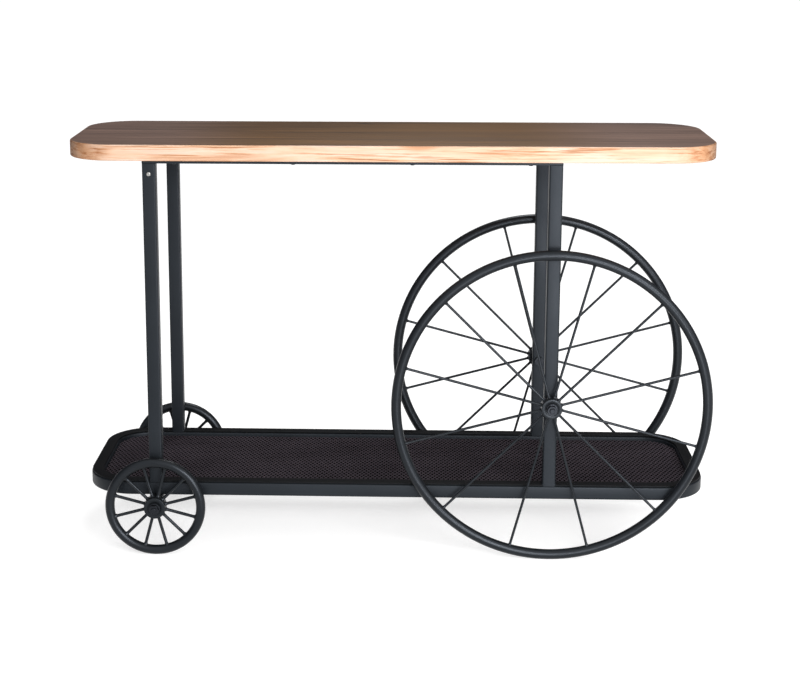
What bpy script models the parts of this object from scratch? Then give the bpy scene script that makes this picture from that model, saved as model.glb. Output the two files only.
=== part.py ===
"""Bar cart: a wooden top on a black tube frame, a mesh tray, two large and two small spoked wheels.

Metres, +Z up. +X runs along the cart towards the large wheels, -Y is the front.
The origin is on the floor under the middle of the cart.
"""
import math

import bmesh
import bpy
from mathutils import Matrix

COLLECTION = "bar_cart"
CUTTERS = "bar_cart_cutters"

GAP = 0.0003                # clearance left between pieces that touch

# wooden top
TOP_LENGTH = 1.210
TOP_WIDTH = 0.350
TOP_THICKNESS = 0.030
TOP_HEIGHT = 0.790
TOP_CORNER = 0.090
TOP_EDGE = 0.002
TOP_UNDERSIDE = TOP_HEIGHT - TOP_THICKNESS

# square tube and flat bar of the frame
TUBE = 0.025
WALL = 0.0015
TUBE_EDGE = 0.003
FLAT_WIDTH = 0.025
FLAT_THICKNESS = 0.005
FLAT_EDGE = 0.0008

# legs
LEG_LEFT_X = -0.446
LEG_RIGHT_X = 0.303
LEG_Y = 0.156

# tray
TRAY_LEFT_X = -0.584
TRAY_RIGHT_X = 0.604
TRAY_HALF_WIDTH = LEG_Y + TUBE / 2
TRAY_CORNER = 0.090
TRAY_TOP = 0.1385
TRAY_BOTTOM = TRAY_TOP - TUBE
LIP_WIDTH = 0.0235
LIP_THICKNESS = 0.003
LIP_EDGE = 0.0008
LIP_BOTTOM = TRAY_TOP + GAP
MESH_TOP = TRAY_TOP - 0.0075
MESH_THICKNESS = 0.0015

# wheels
WHEEL_Y = 0.1845
BIG_RADIUS = 0.300
BIG_RIM = 0.0095            # radius of the big rim's tube
BIG_SPOKE = 0.0025
BIG_HUB = 0.0195
SMALL_RADIUS = 0.096
SMALL_RIM = 0.009
SMALL_SPOKE = 0.003
SMALL_HUB = 0.0205
SPOKES = 12
SPOKE_TURN = math.radians(15)
HUB_LENGTH = 0.0265
HUB_CHAMFER = 0.0012
SPOKE_ROOT = 0.75           # where a spoke starts inside its hub, as a share of the hub's radius

# axle hardware, M10
AXLE = 0.005
BORE = AXLE + GAP
AXLE_END_Y = 0.2110
HEX_RADIUS = 0.017 / math.sqrt(3)
BOLT_HEAD = 0.0064
NUT_LENGTH = 0.008
WASHER_RADIUS = 0.0107
WASHER_LENGTH = 0.0019
THREAD_CHAMFER = 0.0008
HEX_SIDES = 6

# stubs that carry the small axles
STUB_TOP = TRAY_BOTTOM - GAP
STUB_BOTTOM = SMALL_RADIUS - 0.0185

# screws
SCREW_HEAD = 0.0040
SCREW_HEAD_HEIGHT = 0.0022
SCREW_SHANK = 0.0020
SCREW_HOLE = SCREW_SHANK + GAP
WOOD_SCREW_DEPTH = 0.0180
LEG_SCREW_Z = 0.735
LEG_SCREW_LENGTH = 0.010
WOOD_SCREW_CLEAR = 0.003     # hole left empty past a wood screw's tip
WOOD_SCREWS_X = (-0.400, -0.180, 0.040, 0.257)

# facets of the round shapes, and how far an upright edge may lean
TOP_CORNER_FACETS = 10
TRAY_CORNER_FACETS = 8
BIG_RIM_FACETS = 72
SMALL_RIM_FACETS = 48
ROD_FACETS = 8
HUB_FACETS = 24
AXLE_FACETS = 16
WASHER_FACETS = 20
SCREW_FACETS = 10
UPRIGHT_TOLERANCE = 0.00001

PAINT = (0.020, 0.022, 0.024)
HARDWARE = (0.030, 0.030, 0.032)
BRIGHT_STEEL = (0.60, 0.60, 0.62)
MESH_PAINT = (0.045, 0.042, 0.048)
OAK = (0.62, 0.42, 0.26)


# ---------------------------------------------------------------- helpers

def clear_scene():
    for obj in list(bpy.data.objects):
        bpy.data.objects.remove(obj, do_unlink=True)
    for name in (COLLECTION, CUTTERS):
        bpy.context.scene.collection.children.link(bpy.data.collections.new(name))


def file_under(obj, collection):
    for old in list(obj.users_collection):
        old.objects.unlink(obj)
    bpy.data.collections[collection].objects.link(obj)


def paint(obj, colour, metallic, roughness):
    material = bpy.data.materials.new(obj.name)
    material.use_nodes = True
    shader = material.node_tree.nodes["Principled BSDF"]
    shader.inputs["Base Color"].default_value = (*colour, 1.0)
    shader.inputs["Metallic"].default_value = metallic
    shader.inputs["Roughness"].default_value = roughness
    obj.data.materials.clear()
    obj.data.materials.append(material)


def finish(obj, name, colour, metallic=0.0, roughness=0.4):
    """Name the piece, file it in the collection and give it its own material."""
    obj.name = name
    obj.data.name = name
    file_under(obj, COLLECTION)
    paint(obj, colour, metallic, roughness)
    return obj


def smooth(obj, angle=30):
    obj.data.shade_smooth()
    obj.data.set_sharp_from_angle(angle=math.radians(angle))


def apply_modifiers(obj):
    """Replace the object's mesh by its evaluated mesh."""
    graph = bpy.context.evaluated_depsgraph_get()
    mesh = bpy.data.meshes.new_from_object(obj.evaluated_get(graph))
    obj.modifiers.clear()
    obj.data = mesh


def box(size, centre):
    bpy.ops.mesh.primitive_cube_add(size=1, location=centre)
    obj = bpy.context.object
    obj.data.transform(Matrix.Diagonal((*size, 1)))
    return obj


def round_upright_edges(obj, radius, segments, open_ends=False):
    """Round a box's four upright edges; open_ends also takes its top and bottom away."""
    build = bmesh.new()
    build.from_mesh(obj.data)
    if open_ends:
        ends = [face for face in build.faces if abs(face.normal.z) > 0.5]
        bmesh.ops.delete(build, geom=ends, context="FACES")
    upright = [edge for edge in build.edges
               if (edge.verts[0].co - edge.verts[1].co).xy.length < UPRIGHT_TOLERANCE]
    bmesh.ops.bevel(build, geom=upright, offset=radius, segments=segments, profile=0.5, affect="EDGES")
    build.to_mesh(obj.data)
    build.free()


def bevel(obj, width, segments, angle=30):
    modifier = obj.modifiers.new("edge", "BEVEL")
    modifier.width = width
    modifier.segments = segments
    modifier.limit_method = "ANGLE"
    modifier.angle_limit = math.radians(angle)


def cylinder(radius, length, centre, axis, sides):
    turns = {"X": (0, math.pi / 2, 0), "Y": (math.pi / 2, 0, 0), "Z": (0, 0, 0)}
    bpy.ops.mesh.primitive_cylinder_add(
        vertices=sides, radius=radius, depth=length, location=centre, rotation=turns[axis])
    return bpy.context.object


def boolean(obj, other, operation):
    modifier = obj.modifiers.new(operation.lower(), "BOOLEAN")
    modifier.operation = operation
    modifier.solver = "EXACT"
    modifier.object = other
    other.hide_render = True
    other.display_type = "WIRE"
    file_under(other, CUTTERS)


def drill(obj, radius, length, centre, axis, sides):
    hole = cylinder(radius, length, centre, axis, sides)
    hole.name = obj.name + "_drill"
    boolean(obj, hole, "DIFFERENCE")


def turned(profile, steps, centre, rotation=(0, 0, 0)):
    """Turn a closed (radius, height) profile about Z, then place it."""
    mesh = bpy.data.meshes.new("profile")
    build = bmesh.new()
    points = [build.verts.new((radius, 0, height)) for radius, height in profile]
    for first, second in zip(points, points[1:] + points[:1]):
        build.edges.new((first, second))
    build.to_mesh(mesh)
    build.free()
    obj = bpy.data.objects.new("turned", mesh)
    bpy.context.scene.collection.objects.link(obj)
    obj.location = centre
    obj.rotation_euler = rotation
    screw = obj.modifiers.new("turn", "SCREW")
    screw.steps = steps
    screw.render_steps = steps
    screw.use_merge_vertices = True
    screw.merge_threshold = 0.00001
    return obj


def section_curve(width, height, edge):
    """A closed profile for swept bars: a rectangle with its corners broken."""
    half_w, half_h = width / 2, height / 2
    corners = ((half_w, half_h, 0), (-half_w, half_h, 90), (-half_w, -half_h, 180), (half_w, -half_h, 270))
    points = []
    for x, y, start in corners:
        centre_x = x - math.copysign(edge, x)
        centre_y = y - math.copysign(edge, y)
        for turn in (0, 90):
            angle = math.radians(start + turn)
            points.append((centre_x + edge * math.cos(angle), centre_y + edge * math.sin(angle)))
    curve = bpy.data.curves.new("section", "CURVE")
    curve.dimensions = "2D"
    spline = curve.splines.new("POLY")
    spline.points.add(len(points) - 1)
    for point, (x, y) in zip(spline.points, points):
        point.co = (x, y, 0, 1)
    spline.use_cyclic_u = True
    obj = bpy.data.objects.new("section", curve)
    bpy.data.collections[CUTTERS].objects.link(obj)
    obj.hide_render = True
    obj.display_type = "WIRE"
    return obj


def swept_bar(path, section, caps):
    """Sweep a section along a path of points and return the bar as a mesh."""
    curve = bpy.data.curves.new("path", "CURVE")
    curve.dimensions = "3D"
    curve.twist_mode = "Z_UP"
    curve.bevel_mode = "OBJECT"
    curve.bevel_object = section
    curve.use_fill_caps = caps
    spline = curve.splines.new("POLY")
    spline.points.add(len(path) - 1)
    for point, place in zip(spline.points, path):
        point.co = (*place, 1)
    guide = bpy.data.objects.new("path", curve)
    bpy.context.scene.collection.objects.link(guide)
    graph = bpy.context.evaluated_depsgraph_get()
    mesh = bpy.data.meshes.new_from_object(guide.evaluated_get(graph))
    bpy.data.objects.remove(guide, do_unlink=True)
    build = bmesh.new()
    build.from_mesh(mesh)
    bmesh.ops.remove_doubles(build, verts=build.verts, dist=0.00002)
    bmesh.ops.recalc_face_normals(build, faces=build.faces)
    build.to_mesh(mesh)
    build.free()
    bar = bpy.data.objects.new("bar", mesh)
    bpy.context.scene.collection.objects.link(bar)
    return bar


def end_bend(side, start_x, inset, height):
    """The U-shaped end of the tray ring: from (start_x, front) round the end to (start_x, back)."""
    end_x = (TRAY_RIGHT_X if side > 0 else TRAY_LEFT_X) - side * inset
    half_y = TRAY_HALF_WIDTH - inset
    radius = TRAY_CORNER - inset
    path = [(start_x, -half_y, height)]
    for corner_y, first in ((-(half_y - radius), -90), (half_y - radius, 0)):
        for step in range(TRAY_CORNER_FACETS + 1):
            angle = math.radians(first + 90 * step / TRAY_CORNER_FACETS)
            path.append((end_x - side * radius * (1 - math.cos(angle)),
                         corner_y + radius * math.sin(angle), height))
    path.append((start_x, half_y, height))
    return path


# ---------------------------------------------------------------- wooden top

def make_top():
    top = box((TOP_LENGTH, TOP_WIDTH, TOP_THICKNESS), (0, 0, TOP_HEIGHT - TOP_THICKNESS / 2))
    round_upright_edges(top, TOP_CORNER, TOP_CORNER_FACETS)
    bevel(top, TOP_EDGE, 1, 60)
    top.name = "table_top"
    for side in (-1, 1):
        for x in WOOD_SCREWS_X:
            drill(top, SCREW_HOLE, WOOD_SCREW_DEPTH * 2, (x, side * LEG_Y, TOP_UNDERSIDE), "Z", SCREW_FACETS)
    apply_modifiers(top)
    smooth(top)
    finish(top, "table_top", OAK, 0.0, 0.45)


def make_top_frame():
    """Flat bars screwed to the wood: one along each side, one across at each pair of legs."""
    half = FLAT_WIDTH / 2
    low_x = LEG_LEFT_X - half
    high_x = LEG_RIGHT_X + half
    height = TOP_UNDERSIDE - GAP - FLAT_THICKNESS / 2
    for side, name in ((-1, "top_rail_front"), (1, "top_rail_back")):
        rail = box((high_x - low_x, FLAT_WIDTH, FLAT_THICKNESS),
                   ((low_x + high_x) / 2, side * LEG_Y, height))
        bevel(rail, FLAT_EDGE, 1)
        rail.name = name
        for x in WOOD_SCREWS_X:
            drill(rail, SCREW_HOLE, FLAT_THICKNESS * 3, (x, side * LEG_Y, height), "Z", SCREW_FACETS)
        finish(rail, name, PAINT)
    for x, name in ((LEG_LEFT_X, "top_cross_left"), (LEG_RIGHT_X, "top_cross_right")):
        cross = box((FLAT_WIDTH, 2 * (LEG_Y - half - GAP), FLAT_THICKNESS), (x, 0, height))
        bevel(cross, FLAT_EDGE, 1)
        finish(cross, name, PAINT)


# ---------------------------------------------------------------- legs and tray

def upright_tube(x, y, low, high):
    """A square tube standing on end, open at both ends."""
    tube = box((TUBE, TUBE, high - low), (x, y, (low + high) / 2))
    round_upright_edges(tube, TUBE_EDGE, 1, open_ends=True)
    add_wall(tube)
    return tube


def add_wall(tube):
    wall = tube.modifiers.new("wall", "SOLIDIFY")
    wall.thickness = WALL
    wall.offset = -1
    wall.use_even_offset = True


def make_legs():
    low = TRAY_TOP + GAP
    high = TOP_UNDERSIDE - 2 * GAP - FLAT_THICKNESS
    for side, row in ((-1, "front"), (1, "back")):
        y = side * LEG_Y
        left = upright_tube(LEG_LEFT_X, y, low, high)
        left.name = "leg_" + row + "_left"
        drill(left, SCREW_HOLE, TUBE / 2, (LEG_LEFT_X, y + side * TUBE / 2, LEG_SCREW_Z), "Y",
              SCREW_FACETS)
        finish(left, left.name, PAINT)
        right = upright_tube(LEG_RIGHT_X, y, low, high)
        right.name = "leg_" + row + "_right"
        drill(right, BORE, TUBE * 2, (LEG_RIGHT_X, y, BIG_RADIUS), "Y", AXLE_FACETS)
        finish(right, right.name, PAINT)
        stub = upright_tube(LEG_LEFT_X, y, STUB_BOTTOM, STUB_TOP)
        stub.name = "axle_stub_" + row
        drill(stub, BORE, TUBE * 2, (LEG_LEFT_X, y, SMALL_RADIUS), "Y", AXLE_FACETS)
        finish(stub, stub.name, PAINT)


def make_tray_ring():
    """The square tube round the tray: two straight sides and two U-shaped ends."""
    section = section_curve(TUBE, TUBE, TUBE_EDGE)
    height = TRAY_TOP - TUBE / 2
    for side, name in ((-1, "tray_rail_front"), (1, "tray_rail_back")):
        path = [(LEG_LEFT_X + GAP / 2, side * LEG_Y, height), (LEG_RIGHT_X - GAP / 2, side * LEG_Y, height)]
        rail = swept_bar(path, section, False)
        add_wall(rail)
        smooth(rail)
        finish(rail, name, PAINT)
    for side, start_x, name in ((-1, LEG_LEFT_X - GAP / 2, "tray_end_left"),
                                (1, LEG_RIGHT_X + GAP / 2, "tray_end_right")):
        end = swept_bar(end_bend(side, start_x, TUBE / 2, height), section, False)
        add_wall(end)
        smooth(end)
        finish(end, name, PAINT)


def make_tray_lip():
    """The flat bar on top of the ring, cut where the legs stand on it."""
    section = section_curve(LIP_WIDTH, LIP_THICKNESS, LIP_EDGE)
    height = LIP_BOTTOM + LIP_THICKNESS / 2
    clear = TUBE / 2 + GAP
    for side, name in ((-1, "tray_lip_front"), (1, "tray_lip_back")):
        path = [(LEG_LEFT_X + clear, side * LEG_Y, height), (LEG_RIGHT_X - clear, side * LEG_Y, height)]
        lip = swept_bar(path, section, True)
        finish(lip, name, PAINT)
    for side, start_x, name in ((-1, LEG_LEFT_X - clear, "tray_lip_left"),
                                (1, LEG_RIGHT_X + clear, "tray_lip_right")):
        lip = swept_bar(end_bend(side, start_x, TUBE / 2, height), section, True)
        finish(lip, name, PAINT)


def make_mesh_panel():
    """The sheet that the tray's floor is made of, held inside the ring."""
    inset = TUBE + GAP
    panel = box((TRAY_RIGHT_X - TRAY_LEFT_X - 2 * inset, 2 * (TRAY_HALF_WIDTH - inset), MESH_THICKNESS),
                ((TRAY_LEFT_X + TRAY_RIGHT_X) / 2, 0, MESH_TOP - MESH_THICKNESS / 2))
    round_upright_edges(panel, TRAY_CORNER - inset, TRAY_CORNER_FACETS)
    finish(panel, "mesh_panel", MESH_PAINT, 0.0, 0.5)


# ---------------------------------------------------------------- wheels

def make_rim(name, centre, radius, tube, segments):
    bpy.ops.mesh.primitive_torus_add(
        major_radius=radius - tube, minor_radius=tube, major_segments=segments, minor_segments=ROD_FACETS,
        location=centre, rotation=(math.pi / 2, 0, 0))
    rim = bpy.context.object
    smooth(rim, 60)
    finish(rim, name + "_rim", PAINT, 0.0, 0.35)


def make_spider(name, centre, hub, spoke, reach):
    """A hub with its spokes, bored for the axle."""
    half = HUB_LENGTH / 2
    profile = [(BORE, half), (hub - HUB_CHAMFER, half), (hub, half - HUB_CHAMFER),
               (hub, HUB_CHAMFER - half), (hub - HUB_CHAMFER, -half), (BORE, -half)]
    spider = turned(profile, HUB_FACETS, centre, (math.pi / 2, 0, 0))
    start = hub * SPOKE_ROOT
    mesh = bpy.data.meshes.new(name + "_spokes")
    build = bmesh.new()
    for number in range(SPOKES):
        turn = Matrix.Rotation(SPOKE_TURN + 2 * math.pi * number / SPOKES, 4, "Z")
        lay = Matrix.Translation(((start + reach) / 2, 0, 0)) @ Matrix.Rotation(math.pi / 2, 4, "Y")
        bmesh.ops.create_cone(build, cap_ends=True, segments=ROD_FACETS, radius1=spoke, radius2=spoke,
                              depth=reach - start, matrix=turn @ lay)
    build.to_mesh(mesh)
    build.free()
    spokes = bpy.data.objects.new(name + "_spokes", mesh)
    bpy.context.scene.collection.objects.link(spokes)
    spokes.location = centre
    spokes.rotation_euler = (math.pi / 2, 0, 0)
    bpy.context.view_layer.update()
    boolean(spider, spokes, "UNION")
    apply_modifiers(spider)
    smooth(spider)
    finish(spider, name + "_spokes_and_hub", PAINT, 0.0, 0.35)


def make_axle(name, x, z, side):
    """Bolt, two washers and a nut; the bolt's head is on the inner side of the leg."""
    outward = (-side * math.pi / 2, 0, 0)
    head_face = LEG_Y - TUBE / 2 - GAP
    bolt = cylinder(HEX_RADIUS, BOLT_HEAD, (x, side * (head_face - BOLT_HEAD / 2), z), "Y", HEX_SIDES)
    bolt.name = name + "_axle_bolt"
    low = head_face - BOLT_HEAD / 2
    shank = turned([(0, AXLE_END_Y), (AXLE - THREAD_CHAMFER, AXLE_END_Y),
                    (AXLE, AXLE_END_Y - THREAD_CHAMFER), (AXLE, low), (0, low)],
                   AXLE_FACETS, (x, 0, z), outward)
    shank.name = bolt.name + "_shank"
    bpy.context.view_layer.update()
    boolean(bolt, shank, "UNION")
    apply_modifiers(bolt)
    smooth(bolt)
    finish(bolt, bolt.name, HARDWARE, 0.6, 0.4)

    hub_face = WHEEL_Y + HUB_LENGTH / 2
    inner = LEG_Y + TUBE / 2 + GAP
    outer = hub_face + GAP
    nut_start = outer + WASHER_LENGTH + GAP
    for label, start in (("inner", inner), ("outer", outer)):
        ring = [(BORE, WASHER_LENGTH), (WASHER_RADIUS, WASHER_LENGTH), (WASHER_RADIUS, 0), (BORE, 0)]
        washer = turned(ring, WASHER_FACETS, (x, side * start, z), outward)
        finish(washer, name + "_washer_" + label, HARDWARE, 0.6, 0.4)
    nut = cylinder(HEX_RADIUS, NUT_LENGTH, (x, side * (nut_start + NUT_LENGTH / 2), z), "Y", HEX_SIDES)
    nut.name = name + "_axle_nut"
    drill(nut, BORE, NUT_LENGTH * 2, nut.location, "Y", AXLE_FACETS)
    finish(nut, nut.name, HARDWARE, 0.6, 0.4)


def make_wheels():
    for side, row in ((-1, "front"), (1, "back")):
        y = side * WHEEL_Y
        big = "big_wheel_" + row
        make_rim(big, (LEG_RIGHT_X, y, BIG_RADIUS), BIG_RADIUS, BIG_RIM, BIG_RIM_FACETS)
        make_spider(big, (LEG_RIGHT_X, y, BIG_RADIUS), BIG_HUB, BIG_SPOKE,
                    BIG_RADIUS - 2 * BIG_RIM - 2 * GAP)
        make_axle(big, LEG_RIGHT_X, BIG_RADIUS, side)
        small = "small_wheel_" + row
        make_rim(small, (LEG_LEFT_X, y, SMALL_RADIUS), SMALL_RADIUS, SMALL_RIM, SMALL_RIM_FACETS)
        make_spider(small, (LEG_LEFT_X, y, SMALL_RADIUS), SMALL_HUB, SMALL_SPOKE,
                    SMALL_RADIUS - 2 * SMALL_RIM - 2 * GAP)
        make_axle(small, LEG_LEFT_X, SMALL_RADIUS, side)


# ---------------------------------------------------------------- screws

def make_screw(name, centre, length, rotation, colour, metallic):
    """A pan-head screw: head below z = 0, shank above, before it is turned into place."""
    head = SCREW_HEAD_HEIGHT
    profile = [(0, length), (SCREW_SHANK * 0.6, length), (SCREW_SHANK, length - SCREW_SHANK),
               (SCREW_SHANK, 0), (SCREW_HEAD, 0), (SCREW_HEAD, -head * 0.45),
               (SCREW_HEAD * 0.7, -head), (0, -head)]
    screw = turned(profile, SCREW_FACETS, centre, rotation)
    smooth(screw, 40)
    finish(screw, name, colour, metallic, 0.35)


def make_screws():
    underside = TOP_UNDERSIDE - FLAT_THICKNESS - 2 * GAP
    length = FLAT_THICKNESS + WOOD_SCREW_DEPTH - WOOD_SCREW_CLEAR
    for side, row in ((-1, "front"), (1, "back")):
        for number, x in enumerate(WOOD_SCREWS_X, 1):
            make_screw("top_screw_" + row + "_" + str(number), (x, side * LEG_Y, underside),
                       length, (0, 0, 0), HARDWARE, 0.6)
        make_screw("leg_screw_" + row, (LEG_LEFT_X, side * (LEG_Y + TUBE / 2 + GAP), LEG_SCREW_Z),
                   LEG_SCREW_LENGTH, (side * math.pi / 2, 0, 0), BRIGHT_STEEL, 1.0)


clear_scene()
make_top()
make_top_frame()
make_legs()
make_tray_ring()
make_tray_lip()
make_mesh_panel()
make_wheels()
make_screws()
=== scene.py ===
import math

import bmesh
import bpy
from mathutils import Matrix, Vector


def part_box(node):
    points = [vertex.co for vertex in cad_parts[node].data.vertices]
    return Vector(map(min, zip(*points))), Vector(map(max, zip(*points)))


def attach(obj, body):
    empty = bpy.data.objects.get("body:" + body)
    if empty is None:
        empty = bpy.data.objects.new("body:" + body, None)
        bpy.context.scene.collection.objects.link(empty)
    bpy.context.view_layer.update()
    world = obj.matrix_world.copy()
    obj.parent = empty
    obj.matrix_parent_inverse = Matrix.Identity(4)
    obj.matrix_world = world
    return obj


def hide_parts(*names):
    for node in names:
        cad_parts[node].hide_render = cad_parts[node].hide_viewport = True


bl_info = {
    "name": "Bar Cart",
    "version": (1, 0, 0),
    "blender": (4, 5, 0),
    "location": "3D View > Sidebar > Bar Cart",
    "description": "Builds the wood, steel and wheels of a bar cart on its packed frame",
    "category": "Object",
}

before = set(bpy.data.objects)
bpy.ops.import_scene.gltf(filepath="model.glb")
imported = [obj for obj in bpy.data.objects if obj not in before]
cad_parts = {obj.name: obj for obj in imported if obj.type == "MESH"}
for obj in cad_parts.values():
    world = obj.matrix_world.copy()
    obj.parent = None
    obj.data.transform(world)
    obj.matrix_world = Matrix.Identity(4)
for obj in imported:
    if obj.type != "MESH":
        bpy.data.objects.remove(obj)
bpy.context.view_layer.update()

WHEELS = ("big_wheel_front", "big_wheel_back", "small_wheel_front", "small_wheel_back")
LEGS = ("leg_front_left", "leg_front_right", "leg_back_left", "leg_back_right")
TRAY_TUBE = ("tray_rail_front", "tray_rail_back", "tray_end_left", "tray_end_right")
TRAY_BAR = ("tray_lip_front", "tray_lip_back", "tray_lip_left", "tray_lip_right")


# ---------------------------------------------------------------- colours and nodes

def linear(code):
    """An sRGB hex colour as linear red, green and blue."""
    parts = [int(code[i:i + 2], 16) / 255 for i in (1, 3, 5)]
    return tuple(p / 12.92 if p <= 0.04045 else ((p + 0.055) / 1.055) ** 2.4 for p in parts)


def add(tree, kind, links=None, stops=(), **settings):
    """Adds a node, with its settings, a value or a link for each socket, and, on a
    colour ramp, its stops as pairs of place and colour."""
    node = tree.nodes.new(kind)
    for name, value in settings.items():
        setattr(node, name, value)
    for socket, value in (links or {}).items():
        if isinstance(value, bpy.types.NodeSocket):
            tree.links.new(value, node.inputs[socket])
        else:
            node.inputs[socket].default_value = value
    for number, (place, colour) in enumerate(stops):
        if number == len(node.color_ramp.elements):
            node.color_ramp.elements.new(1.0)
        element = node.color_ramp.elements[number]
        element.position = place
        element.color = (*colour, 1.0)
    return node


def grey(value):
    return (value, value, value)


def new_material(name):
    material = bpy.data.materials.new(name)
    material.use_nodes = True
    tree = material.node_tree
    tree.nodes.clear()
    output = add(tree, "ShaderNodeOutputMaterial")
    shader = add(tree, "ShaderNodeBsdfPrincipled")
    tree.links.new(shader.outputs["BSDF"], output.inputs["Surface"])
    place = add(tree, "ShaderNodeTexCoord").outputs["Object"]
    return material, tree, shader, place


# ---------------------------------------------------------------- modelling by hand

def deselect():
    if bpy.context.mode != "OBJECT":
        bpy.ops.object.mode_set(mode="OBJECT")
    bpy.ops.object.select_all(action="DESELECT")


def only(piece):
    deselect()
    piece.select_set(True)
    bpy.context.view_layer.objects.active = piece


def edit(piece):
    only(piece)
    bpy.ops.object.mode_set(mode="EDIT")


def start(kind, name, stretch=(1, 1, 1), **size):
    """Adds a primitive at its size and place, and opens it in edit mode."""
    deselect()
    getattr(bpy.ops.mesh, f"primitive_{kind}_add")(**size)
    piece = bpy.context.active_object
    piece.name = name
    piece.scale = stretch
    bpy.ops.object.transform_apply(location=True, rotation=True, scale=True)
    bpy.ops.object.mode_set(mode="EDIT")
    return piece


def pick(piece, kind, test):
    """Selects the corners, edges or faces whose centre and normal pass the test."""
    bpy.ops.mesh.select_mode(type=kind)
    bpy.ops.mesh.select_all(action="DESELECT")
    mesh = bmesh.from_edit_mesh(piece.data)
    mesh.normal_update()
    if kind == "VERT":
        for v in mesh.verts:
            v.select_set(test(v.co, v.normal))
    elif kind == "EDGE":
        for e in mesh.edges:
            a, b = e.verts
            e.select_set(test((a.co + b.co) / 2, (b.co - a.co).normalized()))
    else:
        for f in mesh.faces:
            f.select_set(test(f.calc_center_median(), f.normal))
    mesh.select_flush_mode()
    bmesh.update_edit_mesh(piece.data)


def pick_all(kind):
    bpy.ops.mesh.select_mode(type=kind)
    bpy.ops.mesh.select_all(action="SELECT")


def extrude(x=0.0, y=0.0, z=0.0):
    bpy.ops.mesh.extrude_region_move(TRANSFORM_OT_translate={"value": (x, y, z)})


def clean(merge=0.00001):
    """Merges doubles and turns every face outwards."""
    pick_all("VERT")
    bpy.ops.mesh.remove_doubles(threshold=merge)
    bpy.ops.mesh.normals_make_consistent(inside=False)
    bpy.ops.object.mode_set(mode="OBJECT")


def modify(piece, kind, **settings):
    only(piece)
    modifier = piece.modifiers.new(kind.lower(), kind)
    for name, value in settings.items():
        setattr(modifier, name, value)
    bpy.ops.object.modifier_apply(modifier=modifier.name)


def twin(piece, name, place):
    """A copy with its own mesh, moved to another place."""
    other = piece.copy()
    other.data = piece.data.copy()
    other.name = name
    bpy.context.collection.objects.link(other)
    other.data.transform(place)
    return other


def join(pieces, name):
    deselect()
    for piece in pieces:
        piece.select_set(True)
    bpy.context.view_layer.objects.active = pieces[0]
    bpy.ops.object.join()
    pieces[0].name = name
    return pieces[0]


def finish(piece, body, material, slot, *nodes, smooth=30):
    """Shades a piece, gives it its finish, and hands it to its body."""
    only(piece)
    bpy.ops.object.shade_smooth_by_angle(angle=math.radians(smooth))
    if not piece.data.materials:
        piece.data.materials.append(material)
    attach(piece, body)
    if nodes:
        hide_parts(*nodes)
    deselect()


def middle(node):
    low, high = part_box(node)
    return (low + high) / 2


# ---------------------------------------------------------------- finishes

# sockets of a Mix node in colour mode, and the settings of one that multiplies
FACTOR, FIRST, SECOND, MIXED = 0, 6, 7, 2
MULTIPLY = {"data_type": "RGBA", "blend_type": "MULTIPLY"}


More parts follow.
